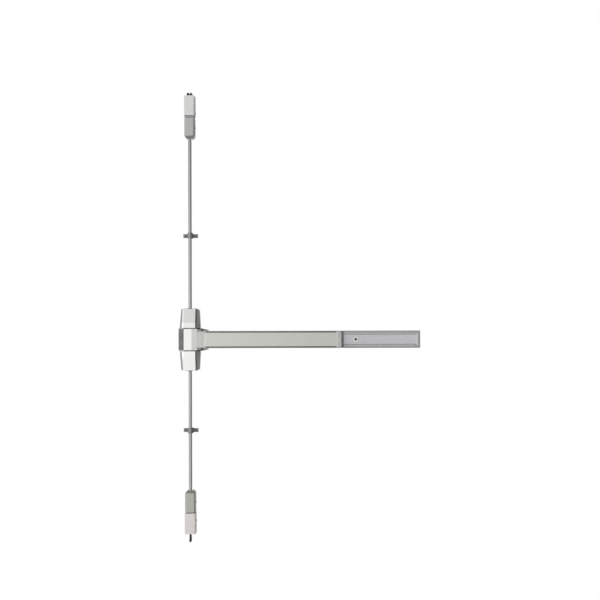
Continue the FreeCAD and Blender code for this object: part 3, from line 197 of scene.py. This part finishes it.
def metal(name, colour, roughness, along, grain=0.5, length=40, depth=0.01, drift=0.05,
          metallic=1.0, worn="#F4F4F2"):
    """A finish with a fine run of lines, slow changes of tone, and lighter worn edges.

    along is the axis that the lines follow. grain is a line's width and length its run, in mm;
    the real lines are about 0.1 mm wide and are drawn coarser so that they show.
    """
    made = bpy.data.materials.new(name)
    made.use_nodes = True
    tree = made.node_tree
    shader = tree.nodes["Principled BSDF"]
    shader.inputs["Metallic"].default_value = metallic
    place = add_node(tree, "ShaderNodeTexCoord").outputs["Object"]
    scale = [1 / (grain * MM)] * 3
    scale["XYZ".index(along)] = 1 / (length * MM)
    run = add_node(tree, "ShaderNodeMapping", {"Scale": scale}, Vector=place).outputs["Vector"]
    lines = add_node(tree, "ShaderNodeTexNoise", {"Scale": 1.0, "Detail": 4.0},
                     Vector=run).outputs["Fac"]
    clouds = add_node(tree, "ShaderNodeTexNoise", {"Scale": CLOUD_SCALE, "Detail": 2.0},
                      Vector=place).outputs["Fac"]
    both = add_node(tree, "ShaderNodeMath", {"operation": "ADD"}, in0=lines,
                    in1=clouds).outputs["Value"]
    swing = {"From Min": MIX_LOW, "From Max": MIX_HIGH}
    shade = add_node(tree, "ShaderNodeMapRange",
                     {**swing, "To Min": 1 - drift, "To Max": 1 + drift}, Value=both)
    tone = add_node(tree, "ShaderNodeVectorMath", {"operation": "SCALE", 0: linear(colour)[:3]},
                    Scale=shade.outputs["Result"])
    edge = add_node(tree, "ShaderNodeMapRange",
                    {"From Min": WEAR_STARTS, "From Max": WEAR_FULL, "To Max": WEAR_SHARE},
                    Value=add_node(tree, "ShaderNodeNewGeometry").outputs["Pointiness"])
    rubbed = add_node(tree, "ShaderNodeMix", {"data_type": "RGBA"}, Factor=edge.outputs["Result"])
    tree.links.new(tone.outputs["Vector"], rubbed.inputs["A"])
    rubbed.inputs["B"].default_value = linear(worn)
    tree.links.new(rubbed.outputs["Result"], shader.inputs["Base Color"])
    rough = add_node(tree, "ShaderNodeMapRange",
                     {**swing, "To Min": roughness * 0.8, "To Max": roughness * 1.2}, Value=both)
    tree.links.new(rough.outputs["Result"], shader.inputs["Roughness"])
    bump = add_node(tree, "ShaderNodeBump", {"Strength": 0.3, "Distance": depth * MM}, Height=lines)
    tree.links.new(bump.outputs["Normal"], shader.inputs["Normal"])
    return made


def finish(names, material):
    """Give CAD nodes a material of this file's own."""
    for name in names:
        nodes[name].data.materials.clear()
        nodes[name].data.materials.append(material)
        for face in nodes[name].data.polygons:
            face.material_index = 0


def smooth_object(name, shape, material):
    """Turn a bmesh into an object of the scene with one material, shaded smooth."""
    mesh = bpy.data.meshes.new(name)
    shape.to_mesh(mesh)
    shape.free()
    for face in mesh.polygons:
        face.use_smooth = True
    mesh.materials.append(material)
    return placed(name, mesh)


WELD = 0.001 * MM          # points closer than this are one point
FLAT = math.radians(0.5)               # facets closer than this are one face
CORNER = math.radians(12)              # only sharper edges are rounded
CLAMPED = 5                # mm; a smaller radius is held back where it meets its neighbours
BROAD = 3 * MM             # a face wider than this is broad
HARD_BROAD, HARD_NARROW = math.radians(6), math.radians(24)    # where a line starts to be hard


def rounded(name, body, material, steps, add=None):
    """A piece in place of a CAD node: the same form with its edges rounded.

    Each step is (radius in mm, segments, test); the test takes an edge's two ends as
    (x, depth, z) in mm and says whether that edge is rounded. Two broad faces keep a
    hard line between them, and narrow bevel strips are shaded as one curve.
    """
    shape = bmesh.new()
    shape.from_mesh(nodes[name].data)
    bmesh.ops.remove_doubles(shape, verts=shape.verts, dist=WELD)
    bmesh.ops.dissolve_limit(shape, angle_limit=FLAT, verts=shape.verts, edges=shape.edges)
    for radius, segments, test in steps:
        chosen = []
        for edge in shape.edges:
            if not (edge.is_manifold and edge.is_convex and edge.calc_face_angle() > CORNER):
                continue
            ends = [(v.co.x / MM, -v.co.y / MM, v.co.z / MM) for v in edge.verts]
            if test(*ends):
                chosen.append(edge)
        bmesh.ops.bevel(shape, geom=chosen, offset=radius * MM, offset_type="OFFSET",
                        segments=segments, profile=0.5, affect="EDGES",
                        clamp_overlap=radius < CLAMPED)
    if add:
        add(shape)
    for edge in shape.edges:
        sides = edge.link_faces
        broad = all(2 * side.calc_area() > BROAD * side.calc_perimeter() for side in sides)
        hard = HARD_BROAD if broad else HARD_NARROW
        edge.smooth = len(sides) == 2 and edge.calc_face_angle() < hard
    piece = smooth_object(name + "_finished", shape, material)
    evened = piece.modifiers.new("even_shading", "WEIGHTED_NORMAL")
    evened.keep_sharp = True
    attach(piece, body)
    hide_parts(name)


def apart(a, b):
    """How far apart two ends of an edge are, in mm."""
    return math.dist(a, b)


case_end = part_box("centre_cover")[1][2] / MM
# Cast and satin-polished 304 stainless: bright, with a soft reflection drawn along the rods.
case_steel = metal("stainless_steel_cast_satin", "#EFEEEC", 0.20, "Z", drift=0.04)
# Pressed steel, zinc plated: dull grey with a faint mottled crystal bloom.
zinc_steel = metal("steel_zinc_plated", "#A4A6A2", 0.38, "X", grain=2.0, length=5, drift=0.10)
# Moulded nylon, dark grey and slightly waxy.
nylon = metal("nylon_moulded_dark", "#333335", 0.45, "Z", grain=1.0, length=1.5, metallic=0.0,
              worn="#4A4A4C")
# Machine screws in a dark zinc finish.
dark_screw = metal("steel_screw_dark_zinc", "#5C5C5C", 0.34, "X", grain=0.4, length=2,
                   worn="#A0A0A0")


def case_corner(a, b):
    """Whether an edge runs back to the door at the top or bottom end of the case."""
    return min(abs(a[2]), abs(b[2])) > case_end - 0.5 and abs(a[1] - b[1]) > 10


# The corners on the right are rounder than those on the left.
rounded("centre_cover", "frame", case_steel,
        [(6, 5, lambda a, b: case_corner(a, b) and min(a[0], b[0]) > 20),
         (3, 4, lambda a, b: case_corner(a, b) and max(a[0], b[0]) < -20),
         (1.0, 8, lambda a, b: min(a[1], b[1]) > 12 and apart(a, b) > 9)])
finish(["centre_base", "centre_slide", "upper_crank", "lower_crank", "centre_crank_clips",
        "upper_lifter", "lower_lifter", "upper_lock_nut", "lower_lock_nut"], zinc_steel)
finish(["rod_bush_upper", "rod_bush_lower", "upper_guide_bush", "lower_guide_bush"], nylon)
finish(["cover_screws", "guide_screws", "rail_screws"], dark_screw)

# ---- Rods and their guides --------------------------------------------------
# Drawn steel rods with a satin finish, held to the door by two small cast guides.

# Drawn mild steel, bright but scuffed: mid grey with marks along its length.
rod_steel = metal("steel_rod_drawn_satin", "#A6A6A4", 0.55, "Z", grain=0.6, length=120, drift=0.10,
                  metallic=0.75)
# Cast iron under a dull grey plating, with a sandy skin.
cast_iron = metal("iron_cast_grey_plated", "#949495", 0.50, "X", grain=0.8, length=0.8, depth=0.05,
                  metallic=0.7, worn="#B0B0B0")
finish(["upper_rod", "lower_rod"], rod_steel)
for name in ("upper_rod_guide", "lower_rod_guide"):
    rounded(name, "frame", cast_iron,
            [(0.8, 3, lambda a, b: min(a[1], b[1]) > 0.5 and apart(a, b) > 4)])

# ---- Rail -------------------------------------------------------------------
# One aluminium extrusion, clear anodised, that carries the pad, the link and the damper.

rail_metal = metal("aluminium_extruded_anodised", "#BDBEBF", 0.34, "X", length=80)
finish(["rail"], rail_metal)
finish(["crank_bracket_left", "crank_bracket_right", "bell_crank_left", "bell_crank_right",
        "bell_pivot_pins", "pad_bracket_left", "pad_bracket_right", "link_bar", "link_rivets",
        "dogging_catch", "dogging_bracket", "damper_bracket", "damper_plunger", "end_bracket"],
       zinc_steel)

# ---- Push pad and its end caps ----------------------------------------------
# A folded stainless channel, brushed along its length, closed by two moulded end caps.

# Brushed 304 sheet: long fine lines that spread its highlight across the bar.
pad_steel = metal("stainless_steel_brushed", "#C2C3BC", 0.27, "X", length=90, drift=0.04)
# Moulded polycarbonate, pale metallic grey.
cap_plastic = metal("polycarbonate_moulded_pale", "#CBCBC8", 0.35, "Z", grain=0.6, length=0.8,
                    metallic=0.35, depth=0.02)
rounded("push_pad", "push_pad", pad_steel,
        [(1.4, 4, lambda a, b: apart(a, b) > 300 and min(a[1], b[1]) > 60)])
cap_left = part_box("pad_cap_left")[0][0] / MM
rounded("pad_cap_left", "push_pad", cap_plastic,
        [(4.5, 6, lambda a, b: max(a[0], b[0]) < cap_left + 0.5 and min(a[1], b[1]) > 60),
         (0.8, 3, lambda a, b: min(a[1], b[1]) > 80 and abs(a[0] - b[0]) > 4)])

right_low, right_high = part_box("pad_cap_right")
RIB_COUNT, RIB_FIRST, RIB_PITCH = 4, 3.2, 4.1      # mm in from the cap's right edge
RIB_ROOT, RIB_CREST = 1.5, 0.7         # mm wide at the cap and at the top of a rib
RIB_SUNK = 0.1             # mm that a rib's middle lies below the cap's face
RIB_MARGIN = 12            # mm by which a rib is shorter than the cap


def cap_ribs(shape):
    """Upright finger ribs on the face of the right cap."""
    for step in range(RIB_COUNT):
        x = right_high[0] - (RIB_FIRST + RIB_PITCH * step) * MM
        for corner in bmesh.ops.create_cube(shape, size=1)["verts"]:
            corner.co.x = x + corner.co.x * (RIB_ROOT if corner.co.y > 0 else RIB_CREST) * MM
            corner.co.z = corner.co.z * (right_high[2] - right_low[2] - RIB_MARGIN * MM)
            corner.co.y = right_low[1] + (corner.co.y + RIB_SUNK) * MM


rounded("pad_cap_right", "push_pad", cap_plastic,
        [(1.2, 4, lambda a, b: min(a[1], b[1]) > 60 and apart(a, b) > 3)], add=cap_ribs)

# ---- Mechanism case, dogging and damper -------------------------------------
# A folded stainless cover over the damper and the dogging screw, with two long grooves
# and a key hole, closed at its far end by a cast cap.

# Brushed sheet as on the pad, but a shade cooler.
cover_steel = metal("stainless_steel_brushed_cool", "#B4B4B8", 0.40, "X", length=90, drift=0.05,
                    metallic=0.5)
# Zinc casting with silver lacquer.
cap_lacquer = metal("zinc_cast_silver_lacquer", "#B4B4B5", 0.50, "Z", grain=0.9, length=2.0,
                    metallic=0.5)
# Turned steel ring, satin.
ring_steel = metal("steel_ring_satin", "#CFCFCD", 0.30, "X", grain=0.3, length=3)
# Blackened steel.
black_steel = metal("steel_black_oxide", "#2A2A2C", 0.38, "Z", grain=0.6, length=4,
                    worn="#5A5A5C")

rounded("mechanism_cover", "frame", cover_steel,
        [(0.5, 3, lambda a, b: apart(a, b) > 150 and min(a[1], b[1]) > 40)])
bar_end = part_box("end_cap")[1][0] / MM
rounded("end_cap", "frame", cap_lacquer,
        [(4, 6, lambda a, b: min(a[0], b[0]) > bar_end - 0.5 and abs(a[1] - b[1]) > 20),
         (1.6, 4, lambda a, b: min(a[0], b[0]) > bar_end - 9 and min(a[1], b[1]) > 20
          and apart(a, b) > 3)])
finish(["key_ring"], ring_steel)
finish(["dogging_hub", "damper_body"], black_steel)

# ---- Springs ----------------------------------------------------------------
# Hard-drawn spring wire wound in open coils with closed, ground ends.

spring_wire = metal("spring_steel_wire", "#8C8C8A", 0.30, "X", grain=0.3, length=6)
CLOSED = 1.0               # turns lying flat at each end
PER_TURN, AROUND_WIRE = 28, 8          # points along one turn and round the wire


def coil(name, node, body, axis, anchor, wire, turns):
    """A compression spring in the space of its CAD tube."""
    low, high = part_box(node)
    index = "XYZ".index(axis)
    others = [i for i in range(3) if i != index]
    middle = (low + high) / 2
    radius = (high[others[0]] - low[others[0]]) / 2 - wire / 2
    span = (low[index] + wire / 2, high[index] - wire / 2)
    shape = bmesh.new()
    rings = []
    for step in range(int(PER_TURN * turns) + 1):
        turn = step / PER_TURN
        share = min(max((turn - CLOSED) / (turns - 2 * CLOSED), 0), 1)
        lift = wire * (min(turn, CLOSED) + max(turn - (turns - CLOSED), 0))
        rise = span[0] + lift + share * (span[1] - span[0] - 2 * CLOSED * wire)
        angle = math.tau * turn
        out = Vector((0, 0, 0))
        out[others[0]] = math.cos(angle)
        out[others[1]] = math.sin(angle)
        along = Vector((0, 0, 0))
        along[index] = 1
        core = middle.copy()
        core[index] = rise
        core += out * radius
        ring = []
        for k in range(AROUND_WIRE):
            bend = math.tau * k / AROUND_WIRE
            side = (out * math.cos(bend) + along * math.sin(bend)) * wire / 2
            ring.append(shape.verts.new(core + side))
        rings.append(ring)
    for first, second in zip(rings, rings[1:]):
        for k in range(AROUND_WIRE):
            after = (k + 1) % AROUND_WIRE
            shape.faces.new((first[k], first[after], second[after], second[k]))
    shape.faces.new(rings[0])
    shape.faces.new(list(reversed(rings[-1])))
    bmesh.ops.recalc_face_normals(shape, faces=shape.faces)
    piece = smooth_object(name, shape, spring_wire)
    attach(piece, body)
    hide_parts(node)
    place = middle.copy()
    place[index] = anchor
    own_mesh(piece)


coil("return_spring_coil", "return_spring", "frame", "X",
     anchor=0.6495, wire=1.6 * MM, turns=9)
coil("bottom_spring_coil", "bottom_spring", "frame", "Z",
     anchor=-0.511, wire=1.5 * MM, turns=8)
coil("top_bolt_spring_coil", "top_bolt_spring", "upper_rod", "Z",
     anchor=0.700, wire=1.3 * MM, turns=10)

# ---- Latches ----------------------------------------------------------------
# The top and bottom latches: pressed bases, a cast pale cap over each bolt, and a grey
# cover over each rod end. The bolts and the bottom guide are blackened steel.

# Zinc casting in pale lacquer: soft, light and only faintly metallic.
pale_lacquer = metal("zinc_cast_pale_lacquer", "#CDCDCC", 0.55, "Z", grain=1.4, length=9,
                     metallic=0.25, drift=0.05)
# The same, a shade warmer.
warm_lacquer = metal("zinc_cast_pale_warm_lacquer", "#DCD6D4", 0.55, "Z", grain=1.4, length=9,
                     metallic=0.25, drift=0.05)
# Grey lacquer with a drawn grain along the rod.
grey_lacquer = metal("zinc_cast_grey_lacquer", "#B4B4B2", 0.45, "Z", grain=1.6, length=60,
                     metallic=0.7, drift=0.09)
# The same, a shade greener.
sage_lacquer = metal("zinc_cast_grey_green_lacquer", "#B4B6AD", 0.45, "Z", grain=1.6, length=60,
                     metallic=0.7, drift=0.09)
for name, slot_name, material in (("top_latch_head", "pale_cap", pale_lacquer),
                                  ("bottom_latch_foot", "pale_cap", warm_lacquer),
                                  ("top_latch_cover", "satin_grey", grey_lacquer),
                                  ("bottom_latch_cover", "satin_grey", sage_lacquer)):
    rounded(name, "frame", material,
            [(1.6, 4, lambda a, b: min(a[1], b[1]) > 20 and apart(a, b) > 8)])
finish(["top_latch_base", "bottom_latch_base", "lower_rod_collar", "trip_pin"], zinc_steel)
finish(["top_bolt", "trip_lever", "bottom_bolt", "bottom_bolt_guide"], black_steel)
finish(["top_bolt_guide"], cast_iron)
